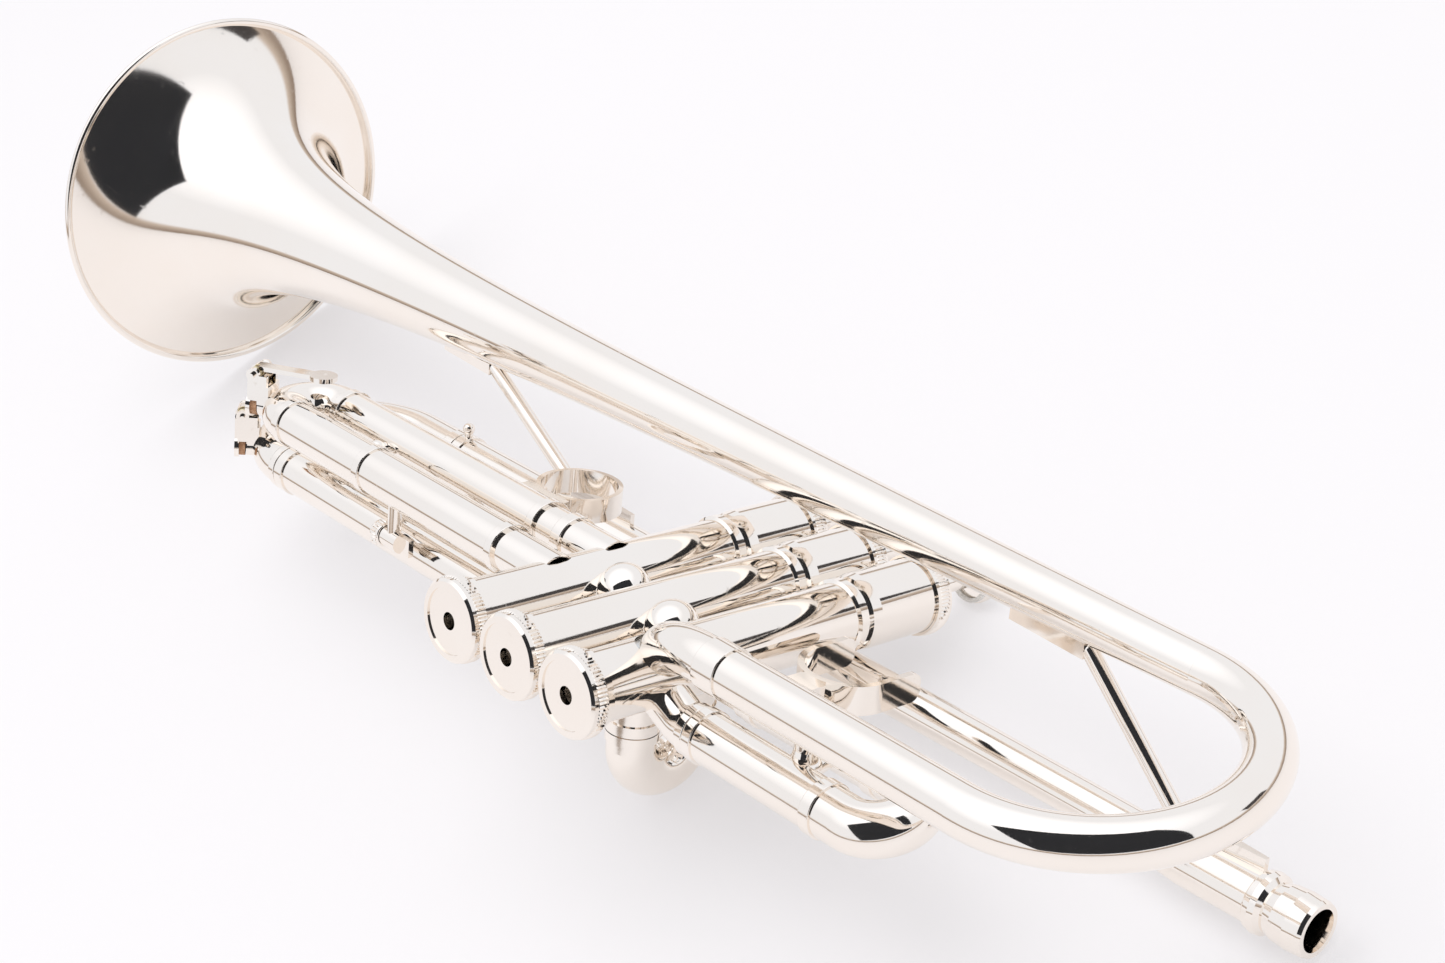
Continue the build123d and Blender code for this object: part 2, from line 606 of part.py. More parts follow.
def key_lever(place):
    """Water key: plate over the nipple, hub on the pin, finger tab running back."""
    face_x = NIPPLE_H + CORK_H
    arm_len = key_pivot_y() + NIPPLE_R
    arm = Pos(face_x + KEY_PLATE / 2, arm_len / 2 - NIPPLE_R, 0) * Box(KEY_PLATE, arm_len, KEY_W - 0.8)
    cup = Pos(face_x + KEY_PLATE / 2, 0, 0) * Cylinder(NIPPLE_R + 0.6, KEY_PLATE, rotation=(0, 90, 0))
    hub = Pos(key_pivot_x(), key_pivot_y(), 0) * Cylinder(2.2, KEY_W - 0.6)
    tab = Pos(key_pivot_x() - 11.0, key_pivot_y() + 1.6, 0) * Box(22.0, KEY_PLATE, KEY_W - 0.8)
    touch = Pos(key_pivot_x() - 21.0, key_pivot_y() + 1.6, 0) * Cylinder(4.2, KEY_PLATE, rotation=(90, 0, 0))
    wind = Pos(key_pivot_x(), key_pivot_y(), 0) * Cylinder(KEY_PIN_R + 0.05, KEY_W + 2)
    room = Pos(key_pivot_x(), key_pivot_y(), -KEY_W / 4 - 0.2) * Cylinder(KEY_COIL_R + 0.5 + WIRE_R, KEY_W / 2 + 0.1)
    return place * (arm + cup + hub + tab + touch - wind - room)


def key_cork(place):
    cork = Cylinder(NIPPLE_R, CORK_H - BUTT_GAP, rotation=(0, 90, 0))
    return place * (Pos(NIPPLE_H + (CORK_H + BUTT_GAP) / 2, 0, 0) * cork)


def key_spring(place):
    """Light torsion coil wound round the hub of the lever."""
    length = KEY_W / 2 - 2 * WIRE_R - 0.3
    turns = coil(KEY_COIL_R, WIRE_R * 0.7, length, 2)
    return place * (Pos(key_pivot_x(), key_pivot_y(), -0.4 - WIRE_R - length) * turns)


def slide3_crook():
    """Moving U of the third slide with its lower inner leg and the ball brace."""
    y = S3_Y
    mid = S3_LOW_Z + LEG_HALF
    low = S3_LOW_Z
    start = S3_SLEEVE_END + BUTT_GAP
    path = u_bend(S3_BEND_X, (y, mid), LEG_HALF, start, S3_BEND_X - 2.0)
    body = swept(path, SLEEVE_R, BORE_R)
    leg_back = S3_BACK_X + 15.0
    body = body + pipe((leg_back, y, low), (start + 4.0, y, low), LEG_R, BORE_R)
    body = body + pipe((start, y, low), (start + 4.0, y, low), SLEEVE_R, LEG_R)
    body = body + collar(S3_BEND_X - 4.0, y, low, SLEEVE_R, 3.0)
    brace_x = S3_SLEEVE_END + 12.0
    strut = rod((brace_x, y, low), (brace_x, y, low + LEG_PITCH - SLEEVE_R), 1.6)
    ball = Pos(brace_x, y, mid) * Sphere(2.7)
    cut = rod((start, y, low), (S3_BEND_X, y, low), SLEEVE_R - 0.2)
    body = body + (strut + ball - cut)
    sleeve_room = rod((S3_BACK_X, y, low + LEG_PITCH), (S3_BEND_X - 2.0, y, low + LEG_PITCH), SLEEVE_R)
    body = body - sleeve_room
    return body + water_key_seat(slide3_key()) - crook_bore(path)


def crook_bore(path):
    """The free way through a crook, to clear fittings out of it."""
    return sweep(Plane(origin=path @ 0, z_dir=path % 0) * Circle(BORE_R), path=path)


def slide3_upper_sleeve():
    """Moving outer sleeve of the upper leg."""
    z = S3_LOW_Z + LEG_PITCH
    end = S3_BEND_X - 2.0
    tube = pipe((S3_UPPER_START, S3_Y, z), (end, S3_Y, z), SLEEVE_R, SLEEVE_IN)
    tube = tube + collar(S3_UPPER_START, S3_Y, z, SLEEVE_R, 3.0)
    return tube + collar(end - 3.0, S3_Y, z, SLEEVE_R, 3.0)


def finger_ring():
    """Band ring for the ring finger, standing on the upper sleeve."""
    top = S3_LOW_Z + LEG_PITCH + SLEEVE_R
    outer = RING_IN_R + RING_BAND
    z = top + 1.6 + outer
    band = rod((RING_X, S3_Y - RING_W / 2, z), (RING_X, S3_Y + RING_W / 2, z), outer)
    hole = rod((RING_X, S3_Y - RING_W, z), (RING_X, S3_Y + RING_W, z), RING_IN_R)
    foot = Pos(RING_X, S3_Y, top - 1.0) * Box(18.0, RING_W, 4.4, align=(Align.CENTER, Align.CENTER, Align.MIN))
    seat = rod((RING_X - 20, S3_Y, S3_LOW_Z + LEG_PITCH), (RING_X + 20, S3_Y, S3_LOW_Z + LEG_PITCH), SLEEVE_R)
    return band + foot - hole - seat


def stop_bracket():
    """Small post on the lower sleeve that holds the stop screw."""
    x = S3_SLEEVE_END - 14.0
    z = S3_LOW_Z - 1.0
    post = rod((x, S3_Y, z), (x, -12.0, z), 2.0)
    boss = rod((x - 4.0, -12.0, z), (x + 3.0, -12.0, z), 3.0)
    wing = Pos(x - 6.0, -12.0, z) * Box(5.0, 5.0, 1.6)
    seat = rod((x - 12, S3_Y, S3_LOW_Z), (x + 12, S3_Y, S3_LOW_Z), SLEEVE_R)
    return post + boss + wing - seat - rod((x - 3.0, -12.0, z), (x + 4.0, -12.0, z), 1.5)


def thumb_screw():
    """Knurled stop screw."""
    x = S3_SLEEVE_END - 14.0 + 3.0 + BUTT_GAP
    z = S3_LOW_Z - 1.0
    head = rod((x, -12.0, z), (x + SCREW_H, -12.0, z), SCREW_R)
    head = fillet(head.edges().filter_by(GeomType.CIRCLE), 0.5)
    return head + rod((x - 5.0, -12.0, z), (x, -12.0, z), 1.45)


# ---------- first valve slide ----------
def slide1_leg(row):
    """Side and height of a leg's axis, the lower one leaned out to the right."""
    turn = math.radians(S1_LEAN) * (1 - row)
    low = LEG_PITCH * (1 - row)
    return S1_Y - low * math.sin(turn), S1_LOW_Z + LEG_PITCH - low * math.cos(turn)


def slide1_leaned(shape):
    """A piece of the slide swung about the axis of its upper leg."""
    return shape.rotate(Axis((0, S1_Y, S1_LOW_Z + LEG_PITCH), (1, 0, 0)), -S1_LEAN)


def slide1_knuckle():
    """Slanted start of the lower tube, from inside the casing to where it runs straight."""
    y, z = slide1_leg(0)
    return (-VALVE_PITCH, S1_PORT_Y, z), (S1_KNUCKLE_X, y, z)


def slide1_tube(row):
    """Fixed inner tube behind the first casing."""
    y, z = slide1_leg(row)
    end = (S1_BEND_X + 13.0, y, z)
    if row:
        tube = pipe((-VALVE_PITCH, y, z), end, LEG_R, BORE_R)
    else:
        path = FilletPolyline(*slide1_knuckle(), end, radius=LEG_R + 2.0)
        tube = swept(Wire(path.edges()), LEG_R, BORE_R)
    ring = collar(S1_BACK_X - 1.0, y, z, LEG_R, 3.0, RING_PROUD * 1.4)
    return tube - casing_solid(-1) + ring


def slide1_sleeve(row):
    """Moving outer sleeve over a fixed tube."""
    y, z = slide1_leg(row)
    start = S1_BACK_X - 1.0 - BUTT_GAP
    end = S1_BEND_X + 6.0
    tube = pipe((end, y, z), (start, y, z), SLEEVE_R, SLEEVE_IN)
    return tube + collar(end, y, z, SLEEVE_R, 3.5) + collar(start - 3.0, y, z, SLEEVE_R, 3.0)


def slide1_crook():
    mid = (S1_Y, S1_LOW_Z + LEG_HALF)
    lead = S1_BEND_X + 6.0
    path = u_bend(S1_BEND_X, mid, LEG_HALF, lead, lead, -1)
    return slide1_leaned(swept(path, SLEEVE_R, BORE_R))


def slide1_knob():
    """Cross brace between the two sleeves, and a turned pull post that stands on the lower one."""
    x = S1_BEND_X + KNOB_X
    low_y, low_z = slide1_leg(0)
    bar = rod((x, low_y, low_z), (x, *slide1_leg(1)), BRACE_R)
    z = low_z + KNOB_OFFSET
    post = rod((x, low_y, z), (x, KNOB_TOP_Y, z), KNOB_POST_R)
    foot = rod((x, low_y, z), (x, low_y + SLEEVE_R - 1.0, z), KNOB_R)
    foot = fillet(foot.edges().filter_by(GeomType.CIRCLE).sort_by(Axis.Y)[-1], 1.0)
    waist_y = low_y + SLEEVE_R - 1.0
    skirt = Plane(origin=(x, waist_y, z), z_dir=(0, 1, 0))
    skirt = Solid.make_cone(KNOB_R - 1.0, KNOB_POST_R, 2.6, skirt)
    made = bar + post + foot + skirt
    made = made - rod((x - 9, low_y, low_z), (x + 9, low_y, low_z), SLEEVE_R)
    high_y, high_z = slide1_leg(1)
    made = made - rod((x - 9, high_y, high_z), (x + 9, high_y, high_z), SLEEVE_R)
    return max(made.solids(), key=lambda part: part.volume)


def thumb_saddle():
    """Open U band for the thumb on the upper sleeve, with a low foot."""
    top = S1_LOW_Z + LEG_PITCH + SLEEVE_R
    outer = SADDLE_IN_R + SADDLE_BAND
    y = S1_Y + SADDLE_LIFT
    z = top + 1.4 + outer
    base = (Align.CENTER, Align.CENTER, Align.MIN)
    cup = rod((SADDLE_X, y - SADDLE_W / 2, z), (SADDLE_X, y + SADDLE_W / 2, z), outer)
    arms = Pos(SADDLE_X, y, z) * Box(2 * outer, SADDLE_W, SADDLE_ARM, align=base)
    tips = arms.edges().filter_by(Axis.X).group_by(Axis.Z)[-1]
    arms = fillet(tips, SADDLE_TIP_R)
    hole = rod((SADDLE_X, y - SADDLE_W, z), (SADDLE_X, y + SADDLE_W, z), SADDLE_IN_R)
    room = Pos(SADDLE_X, y, z) * Box(2 * SADDLE_IN_R, 2 * SADDLE_W, 2 * SADDLE_ARM, align=base)
    foot = Pos(SADDLE_X, y, top - 2.6) * Box(9.0, SADDLE_W - 2.0, 5.6, align=base)
    seat = rod((SADDLE_X - 20, S1_Y, S1_LOW_Z + LEG_PITCH), (SADDLE_X + 20, S1_Y, S1_LOW_Z + LEG_PITCH), SLEEVE_R)
    return cup + arms + foot - hole - room - seat


# ---------- second valve slide ----------
def slide2_sleeve(row):
    """Fixed sleeve on the right side of the middle casing."""
    z = S2_LOW_Z + row * LEG_PITCH
    tube = pipe((0, -CASING_IN + 1.0, z), (0, -S2_SLEEVE_END, z), SLEEVE_R, SLEEVE_IN) - casing_solid(0)
    ring = pipe((0, -S2_SLEEVE_END, z), (0, 3.0 - S2_SLEEVE_END, z), SLEEVE_R + RING_PROUD, SLEEVE_R)
    return tube + ring


def slide2_crook():
    """Moving U of the second slide with its two short inner legs."""
    low = S2_LOW_Z
    high = S2_LOW_Z + LEG_PITCH
    start = -S2_SLEEVE_END - BUTT_GAP
    bend = -S2_BEND
    nose = (0, bend - LEG_HALF, low + LEG_HALF)
    arc = ThreePointArc((0, bend, low), nose, (0, bend, high))
    path = Wire([Line((0, start, low), (0, bend, low)), arc, Line((0, bend, high), (0, start, high))])
    body = swept(path, SLEEVE_R, BORE_R)
    for z in (low, high):
        body = body + pipe((0, start, z), (0, -CASING_R - 4.0, z), LEG_R, BORE_R)
        body = body + pipe((0, start, z), (0, start - 2.6, z), SLEEVE_R + RING_PROUD, SLEEVE_R)
    return body


# ---------- main tuning slide ----------
def main_crook():
    """Moving U of the main slide with both inner legs and its water key seat."""
    y = LEAD_Y
    low_start = MAIN_LOW_X + BUTT_GAP
    top_start = SLEEVE_FRONT_X + BUTT_GAP
    path = u_bend(MAIN_BEND_X, (y, MAIN_MID_Z), MAIN_R, low_start, top_start)
    body = swept(path, SLEEVE_R, BORE_R)
    reach = MAIN_DRAW + 20.0
    body = body + pipe((top_start - reach, y, LEAD_Z), (top_start + 1.0, y, LEAD_Z), LEG_R, BORE_R)
    body = body + pipe((low_start - reach, y, MAIN_LOW_Z), (low_start + 1.0, y, MAIN_LOW_Z), LEG_R, BORE_R)
    body = body + collar(top_start, y, LEAD_Z, SLEEVE_R, 4.0)
    body = body + collar(low_start, y, MAIN_LOW_Z, SLEEVE_R, 2.8)
    return body + water_key_seat(main_key()) - crook_bore(path)


def main_crook_brace():
    """Cross bar between the two legs of the main slide's crook."""
    x = MAIN_BEND_X + 6.0
    z0 = MAIN_MID_Z - MAIN_R * 0.97
    z1 = MAIN_MID_Z + MAIN_R * 0.97
    bar = rod((x, LEAD_Y, z0), (x, LEAD_Y, z1), 2.0)
    bar = bar + Pos(x, LEAD_Y, MAIN_MID_Z) * Sphere(3.2)
    path = u_bend(MAIN_BEND_X, (LEAD_Y, MAIN_MID_Z), MAIN_R, MAIN_BEND_X - 20, MAIN_BEND_X - 20)
    keep = sweep(Plane(origin=path @ 0, z_dir=path % 0) * Circle(SLEEVE_R), path=path)
    return bar - keep


# ---------- braces ----------
def z_brace(top_x, bottom_x, top_r, bottom_r):
    """Bar between bell and leadpipe with feet running opposite ways."""
    z = BRACE_Z
    y_top = BELL_Y - top_r
    y_low = LEAD_Y + bottom_r
    a = (top_x, y_top - FOOT_H / 2, z)
    b = (bottom_x, y_low + FOOT_H / 2, z)
    bar = rod(a, b, BRACE_R) + Pos(*a) * Sphere(BRACE_R) + Pos(*b) * Sphere(BRACE_R)
    foot_a = brace_foot(top_x, 1, y_top, z)
    foot_b = brace_foot(bottom_x, -1, y_low, z)
    return bar + foot_a + foot_b


def brace_foot(x, way, y, z):
    """Tapered strip lying along a tube."""
    wide = FOOT_W / 2
    tip = x + way * FOOT_LEN
    outline = Polyline((x, 0, z - wide), (tip, 0, z - wide * 0.3), (tip, 0, z + wide * 0.3), (x, 0, z + wide), close=True)
    face = outline_face(outline)
    slab = extrude(face, amount=3 * FOOT_H, dir=(0, 1, 0))
    return Pos(0, y - 1.5 * FOOT_H, 0) * slab


def horn_body():
    """Solid of the bell stem's outside, for seating the brace feet."""
    skin = horn_skin(BOW_X, FLARE_X, STEM_STATIONS)
    front = (FLARE_X, 0, horn_radius(FLARE_X))
    back = (BOW_X, 0, horn_radius(BOW_X))
    rest = Polyline(front, (FLARE_X, 0, 0), (BOW_X, 0, 0), back)
    return Pos(0, BELL_Y, BELL_Z) * revolve(outline_face(*skin, rest), Axis.X, 360)


def rear_brace():
    x = -103.0
    brace = z_brace(x, x - 34.0, horn_radius(x), RECEIVER_R)
    keep = horn_body() + rod((RECEIVER_X + 17.0, LEAD_Y, LEAD_Z), (-RECEIVER_LEN, LEAD_Y, LEAD_Z), RECEIVER_R)
    return brace - keep


def front_brace():
    x = 140.0
    brace = z_brace(x, x - 44.0, horn_radius(x), SLEEVE_R)
    keep = horn_body() + rod((SLEEVE_BACK_X, LEAD_Y, LEAD_Z), (SLEEVE_FRONT_X, LEAD_Y, LEAD_Z), SLEEVE_R)
    return brace - keep


# ---------- write every piece ----------
def pieces():
    """Every piece by name, still in the working frame."""
    made = {
        "bell_flare": bell_flare(), "bell_stem": bell_stem(), "bell_rim_bead": bell_rim_bead(),
        "bell_bow": bell_bow(), "tail_elbow": tail_elbow(), "leadpipe": leadpipe(),
        "mouthpiece_receiver": mouthpiece_receiver(), "rear_brace": rear_brace(),
        "front_brace": front_brace(), "upper_slide_sleeve": upper_slide_sleeve(),
        "lower_slide_sleeve": lower_slide_sleeve(), "valve3_elbow": valve3_elbow(),
        "cross_knuckle_12": cross_knuckle(-1), "cross_knuckle_23": cross_knuckle(1),
        "slide3_lower_sleeve": slide3_lower_sleeve(), "slide3_upper_tube": slide3_upper_tube(),
        "slide3_crook": slide3_crook(), "slide3_upper_sleeve": slide3_upper_sleeve(),
        "finger_ring": finger_ring(), "stop_bracket": stop_bracket(), "thumb_screw": thumb_screw(),
        "slide1_crook": slide1_crook(), "slide1_knob": slide1_knob(), "thumb_saddle": thumb_saddle(),
        "slide1_lower_tube": slide1_tube(0), "slide1_upper_tube": slide1_tube(1),
        "slide1_lower_sleeve": slide1_sleeve(0), "slide1_upper_sleeve": slide1_sleeve(1),
        "slide2_lower_sleeve": slide2_sleeve(0), "slide2_upper_sleeve": slide2_sleeve(1),
        "slide2_crook": slide2_crook(), "main_crook": main_crook(),
        "main_crook_brace": main_crook_brace(),
        "slide3_key_lever": key_lever(slide3_key()), "slide3_key_cork": key_cork(slide3_key()),
        "slide3_key_spring": key_spring(slide3_key()), "main_key_lever": key_lever(main_key()),
        "main_key_cork": key_cork(main_key()), "main_key_spring": key_spring(main_key()),
    }
    for number in (1, 2, 3):
        index = number - 2
        made["casing_%d" % number] = casing(index)
        made["bottom_cap_%d" % number] = bottom_cap(index)
        made["top_cap_%d" % number] = top_cap(index)
        made["piston_%d" % number] = piston(index)
        made["finger_button_%d" % number] = finger_button(index)
        made["valve_spring_%d" % number] = valve_spring(index)
        made["valve_guide_%d" % number] = valve_guide(index)
    return made


# ---------- lying at rest ----------
def rest_heights(lean, roll):
    """Heights of the three resting features above the origin for a trial up direction."""
    flat = math.sqrt(1 - lean * lean)
    up = Vector(lean, flat * math.cos(roll), flat * math.sin(roll))
    edge_x, edge_r = bell_edge()
    rim = Vector(edge_x, BELL_Y, BELL_Z).dot(up) - edge_r * flat - RIM_WIRE_R
    bow = Vector(0, -S2_BEND, S2_LOW_Z + LEG_HALF).dot(up) - LEG_HALF * flat - SLEEVE_R
    top = button_underside() + BUTTON_H - BUTTON_EDGE
    side = math.sqrt(1 - up.Z * up.Z)
    button = Vector(-VALVE_PITCH, 0, top).dot(up) - (BUTTON_R - BUTTON_EDGE) * side - BUTTON_EDGE
    return rim, bow, button, up


def rest_miss(lean, roll):
    rim, bow, button, _ = rest_heights(lean, roll)
    return rim - bow, button - bow


def rest_plane():
    """Floor under the bell rim, the second slide's bow and the first finger button."""
    lean, roll = 0.03, -0.45
    step = 1e-5
    for _ in range(12):
        f = rest_miss(lean, roll)
        fa = rest_miss(lean + step, roll)
        fb = rest_miss(lean, roll + step)
        a, b = (fa[0] - f[0]) / step, (fb[0] - f[0]) / step
        c, d = (fa[1] - f[1]) / step, (fb[1] - f[1]) / step
        det = a * d - b * c
        lean -= (d * f[0] - b * f[1]) / det
        roll -= (a * f[1] - c * f[0]) / det
    _, bow, _, up = rest_heights(lean, roll)
    forward = Vector(1, 0, 0) - up * up.X
    return Plane(origin=up * bow, x_dir=forward, z_dir=up)


def laid_down(made):
    """Move every piece to the floor, with the origin under the middle of the whole."""
    floor = rest_plane()
    placed = {name: floor.to_local_coords(shape) for name, shape in made.items()}
    boxes = [shape.bounding_box() for shape in placed.values()]
    mid_x = (min(b.min.X for b in boxes) + max(b.max.X for b in boxes)) / 2
    mid_y = (min(b.min.Y for b in boxes) + max(b.max.Y for b in boxes)) / 2
    return {name: Pos(-mid_x, -mid_y, 0) * shape for name, shape in placed.items()}


def main():
    os.makedirs("parts", exist_ok=True)
    for name, shape in laid_down(pieces()).items():
        export_step(shape, "parts/" + name + ".step")


main()
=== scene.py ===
import json
import math

import bmesh
import bpy
from mathutils import Matrix, Vector


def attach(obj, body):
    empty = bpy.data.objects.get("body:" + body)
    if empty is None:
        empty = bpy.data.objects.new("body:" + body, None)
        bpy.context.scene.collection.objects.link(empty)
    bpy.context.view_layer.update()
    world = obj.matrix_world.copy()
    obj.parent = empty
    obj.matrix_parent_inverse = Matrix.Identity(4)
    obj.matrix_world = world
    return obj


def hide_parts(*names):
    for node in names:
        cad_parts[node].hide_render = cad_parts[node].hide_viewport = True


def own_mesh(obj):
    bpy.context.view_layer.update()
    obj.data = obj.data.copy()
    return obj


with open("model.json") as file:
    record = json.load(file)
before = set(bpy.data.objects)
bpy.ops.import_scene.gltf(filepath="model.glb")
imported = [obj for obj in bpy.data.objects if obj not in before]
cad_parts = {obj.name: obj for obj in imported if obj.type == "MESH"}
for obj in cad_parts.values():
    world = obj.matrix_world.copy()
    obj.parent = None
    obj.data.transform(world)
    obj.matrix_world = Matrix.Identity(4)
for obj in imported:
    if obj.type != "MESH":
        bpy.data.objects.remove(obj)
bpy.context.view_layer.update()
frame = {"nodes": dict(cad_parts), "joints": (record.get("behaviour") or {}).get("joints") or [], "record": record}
NODES = frame["nodes"]
MM = 0.001
VALVES = (1, 2, 3)

# ---------- sizes of the pieces made here, in millimetres ----------
BELL_WALL = 0.6
BELL_POLE = 14.5           # horn law: radius ~ (distance from the mouth + pole) ** -power
BELL_POWER = 0.66
BELL_STATIONS = 70
BELL_CROWDING = 2.2        # stations crowd toward the mouth by this power
BELL_STEPS = 180
RIM_WIRE_R = 1.15
RIM_SEAM = 0.69            # how far behind the mouth the skin meets the rolled wire
RIM_ROLL_DEG = range(185, 471, 15)
TOOTH_DEPTH = 0.55
CAP_TEETH = 72
KNURL_SINK = 0.25          # knurled band's inner face under the cap's skin
KNURL_PROUD = 0.42
BOTTOM_KNURL_UP = 1.7      # band's foot above its cap's lowest point
BOTTOM_KNURL_H = 3.3
TOP_KNURL_UP = 0.9
TOP_KNURL_H = 3.6
SCREW_TEETH = 26
SCREW_KNURL_BACK = 3.4     # band's foot behind the head's face
SCREW_KNURL_H = 2.8
SCREW_SINK = 0.3
SCREW_PROUD = 0.35
KNUCKLE_R = 7.35
PEARL_R = 5.35
PEARL_RISE = 0.75
PEARL_SEAT = 0.62          # dish's floor under the button's highest point
PEARL_EDGE = [(0, -0.25), (PEARL_R - 0.6, -0.2), (PEARL_R - 0.1, 0.18), (PEARL_R, 0.42), (PEARL_R - 0.25, 0.58)]
PEARL_SHOULDER = 0.55      # height at which the disc's crown starts
PEARL_CROWN = 0.93         # crown's foot as a share of the disc's radius
FELT_IN_R = 5.7
FELT_R = 7.0
FELT_H = 1.15
FELT_EASE = 0.25
FELT_UNDER = 3.6           # felt's top under the button's highest point
SPRING_WIRE = 0.42
SPRING_TURNS = 9
SPRING_STEPS = 24          # steps in each turn
WIRE_SIDES = 10
WELD = 0.0005
SHARP_DEG = 35.0

# ---------- the studio, in metres ----------
CAMERA_PLACE = (-0.52878, 0.26810, 0.47142)
CAMERA_AIM = (-0.03493, -0.01188, 0.05)
CAMERA_ROLL_DEG = -20.656
CAMERA_LENS = 64.01
FLOOR_SIDE = 8.0
FLOOR_TONE = (0.90, 0.885, 0.90)
FLOOR_LIGHT = (0.955, 0.940, 0.955)
FLOOR_GLOW = 0.5           # share of the board's light that is its own
TENT_FOOT = (0.30, 0.235, 0.19)
TENT_HEM = (0.62, 0.53, 0.46)
TENT_WALL = (0.92, 0.945, 1.0)
TENT_STRIPE = ((0.07, TENT_HEM), (0.10, TENT_WALL), (0.24, TENT_WALL))
TENT_PLAIN = (0.955, 0.945, 0.965)
TENT_FILL = 0.80           # strength as a light
TENT_SEEN = 1.0            # strength as a background and in reflections
TENT_GLOW = 0.45           # what its top adds in reflections
GLOW_FROM = 0.55           # height on the unit sphere where that glow starts


# ---------- the instrument's own frame: X to the bell, Z along the valves to their top caps ------
def joint_axis(name):
    """Direction of a joint, as a unit vector."""
    return Vector(next(j["axis"] for j in frame["joints"] if j["name"] == name)).normalized()


def instrument_frame():
    """Instrument millimetres, from the middle valve's bottom cap face, to the row's frame."""
    forward = joint_axis("main_slide_draw")
    up = -joint_axis("valve_2_press")
    turn = Matrix((forward, up.cross(forward), up)).transposed()
    cap = [turn.transposed() @ v.co for v in NODES["bottom_cap_2"].data.vertices]
    across = [(min(p[k] for p in cap) + max(p[k] for p in cap)) / 2 for k in (0, 1)]
    face = min(p.z for p in cap)
    origin = turn @ Vector((across[0], across[1], face))
    return Matrix.Translation(origin) @ turn.to_4x4() @ Matrix.Scale(MM, 4)


PLACE = instrument_frame()
UNPLACE = PLACE.inverted()


def extent(node):
    """Lowest and highest corner of a CAD node in the instrument's frame, in millimetres."""
    points = [UNPLACE @ v.co for v in NODES[node].data.vertices]
    low = Vector([min(p[k] for p in points) for k in range(3)])
    high = Vector([max(p[k] for p in points) for k in range(3)])
    return low, high


# ---------- shader groups ----------
def new_group(name, inputs, outputs):
    """Empty shader node group with named float inputs and outputs of the given kinds."""
    tree = bpy.data.node_groups.new(name, "ShaderNodeTree")
    for label, value in inputs:
        socket = tree.interface.new_socket(label, in_out="INPUT", socket_type="NodeSocketFloat")
        socket.default_value = value
    for label, kind in outputs:
        tree.interface.new_socket(label, in_out="OUTPUT", socket_type=kind)
    return tree, tree.nodes.new("NodeGroupInput"), tree.nodes.new("NodeGroupOutput")


def add(tree, kind, **values):
    """New node with its settings, and its inputs by name where a setting's name starts with in_."""
    node = tree.nodes.new(kind)
    for key, value in values.items():
        if key.startswith("in_"):
            node.inputs[key[3:].replace("_", " ")].default_value = value
        else:
            setattr(node, key, value)
    return node


def noise(tree, vector, scale, detail=2.0, rough=0.5):
    """Noise texture on a vector, its scale a number or a socket."""
    node = add(tree, "ShaderNodeTexNoise", in_Detail=detail, in_Roughness=rough)
    tree.links.new(vector, node.inputs["Vector"])
    if isinstance(scale, (int, float)):
        node.inputs["Scale"].default_value = scale
    else:
        tree.links.new(scale, node.inputs["Scale"])
    return node.outputs["Fac"]


def fitted(tree, value, low, high, to_low=0.0, to_high=1.0):
    """Map Range of a value, clamped."""
    node = add(tree, "ShaderNodeMapRange")
    node.inputs["From Min"].default_value = low
    node.inputs["From Max"].default_value = high
    node.inputs["To Min"].default_value = to_low
    node.inputs["To Max"].default_value = to_high
    tree.links.new(value, node.inputs["Value"])
    return node.outputs["Result"]


def maths(tree, operation, a, b):
    """Two-input Math node, each input a number or a socket."""
    node = add(tree, "ShaderNodeMath", operation=operation)
    for socket, value in zip(node.inputs, (a, b)):
        if isinstance(value, (int, float)):
            socket.default_value = value
        else:
            tree.links.new(value, socket)
    return node.outputs["Value"]


def handling_marks():
    """Group: slow wipe clouds, fine polishing lines and small specks, over Object coordinates."""
    tree, given, out = new_group(
        "handling_marks",
        [("Cloud Scale", 18.0), ("Line Scale", 900.0)],
        [("Cloud", "NodeSocketFloat"), ("Lines", "NodeSocketFloat"), ("Specks", "NodeSocketFloat")],
    )
    where = add(tree, "ShaderNodeTexCoord").outputs["Object"]
    cloud = noise(tree, where, given.outputs["Cloud Scale"], 4.0, 0.6)
    tree.links.new(fitted(tree, cloud, 0.35, 0.7), out.inputs["Cloud"])
    squeeze = add(tree, "ShaderNodeMapping")
    squeeze.inputs["Scale"].default_value = (0.06, 1.0, 1.0)
    tree.links.new(where, squeeze.inputs["Vector"])
    lines = noise(tree, squeeze.outputs["Vector"], given.outputs["Line Scale"], 2.0, 0.5)
    tree.links.new(lines, out.inputs["Lines"])
    specks = noise(tree, where, 420.0, 1.0, 0.4)
    tree.links.new(fitted(tree, specks, 0.68, 0.78), out.inputs["Specks"])
    return tree


def soft_fibre():
    """Group: pressed fibre mottling for cork and felt, over Object coordinates."""
    tree, given, out = new_group(
        "soft_fibre",
        [("Grain Scale", 900.0)],
        [("Mottle", "NodeSocketFloat"), ("Height", "NodeSocketFloat")],
    )
    where = add(tree, "ShaderNodeTexCoord").outputs["Object"]
    grain = noise(tree, where, given.outputs["Grain Scale"], 5.0, 0.65)
    cells = add(tree, "ShaderNodeTexVoronoi", in_Scale=1400.0)
    tree.links.new(where, cells.inputs["Vector"])
    tree.links.new(fitted(tree, grain, 0.35, 0.65), out.inputs["Mottle"])
    tree.links.new(maths(tree, "ADD", grain, cells.outputs["Distance"]), out.inputs["Height"])
    return tree


MARKS = handling_marks()
FIBRE = soft_fibre()


def base_material(name):
    """New node material and its Principled shader."""
    material = bpy.data.materials.new(name)
    material.use_nodes = True
    return material, material.node_tree, material.node_tree.nodes["Principled BSDF"]


